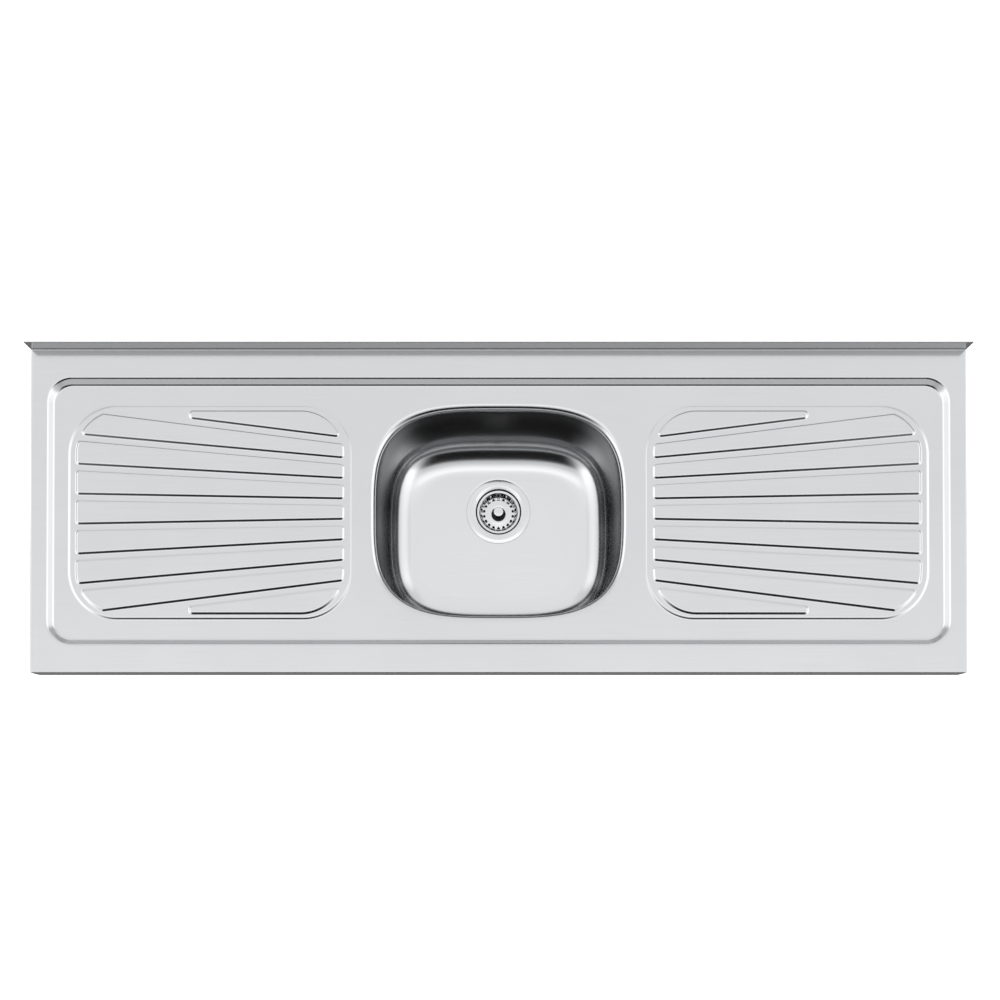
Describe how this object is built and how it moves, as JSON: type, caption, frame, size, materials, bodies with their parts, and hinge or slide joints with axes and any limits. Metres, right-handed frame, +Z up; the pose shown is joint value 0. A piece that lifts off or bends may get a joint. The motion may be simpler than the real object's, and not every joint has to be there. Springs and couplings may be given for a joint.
{
  "type": "sink top with drainboards",
  "caption": "Pressed stainless steel sink top with a central bowl, a ribbed drainboard on each side, a rear upstand and a lift-out basket strainer.",
  "frame": {"origin": "middle of the wall face behind the upstand, level with the top of the flat border", "axes": "+X along the length to the right, +Y towards the wall, +Z up"},
  "size_m": [1.5, 0.522, 0.317],
  "materials": {
    "brushed_steel": "fine brushing along the length, satin",
    "polished_steel": "polished",
    "galvanised_steel": "dull zinc coat",
    "seal_rubber": "matte black",
    "slip_ring": "matte fibre",
    "nut_plastic": "moulded, semi-matte",
    "damping_pad": "matte bitumen pad"
  },
  "bodies": {
    "sink": {"deck_sheet": "brushed_steel", "bowl": "brushed_steel", "strainer_body": "polished_steel", "upper_gasket": "seal_rubber", "lower_gasket": "seal_rubber", "friction_ring": "slip_ring", "lock_nut": "nut_plastic", "outlet_washer": "seal_rubber", "tailpiece": "polished_steel", "coupling_nut": "nut_plastic", "stiffener_1": "galvanised_steel", "stiffener_2": "galvanised_steel", "stiffener_3": "galvanised_steel", "stiffener_4": "galvanised_steel", "damping_pad_left": "damping_pad", "damping_pad_right": "damping_pad"},
    "strainer": {"basket_post": "polished_steel", "basket_knob": "polished_steel", "basket_stopper": "seal_rubber", "stopper_nut": "polished_steel"},
    "basket": {"basket_cup": "polished_steel"}
  },
  "joints": [
    {"name": "strainer_lift", "type": "slide", "parent": "sink", "child": "strainer", "axis": [0, 0, 1], "range_m": [0, 0.235]},
    {"name": "basket_turn", "type": "hinge", "parent": "strainer", "child": "basket", "pos_m": [0, -0.226, -0.1494], "axis": [0, 0, 1], "continuous": true}
  ]
}
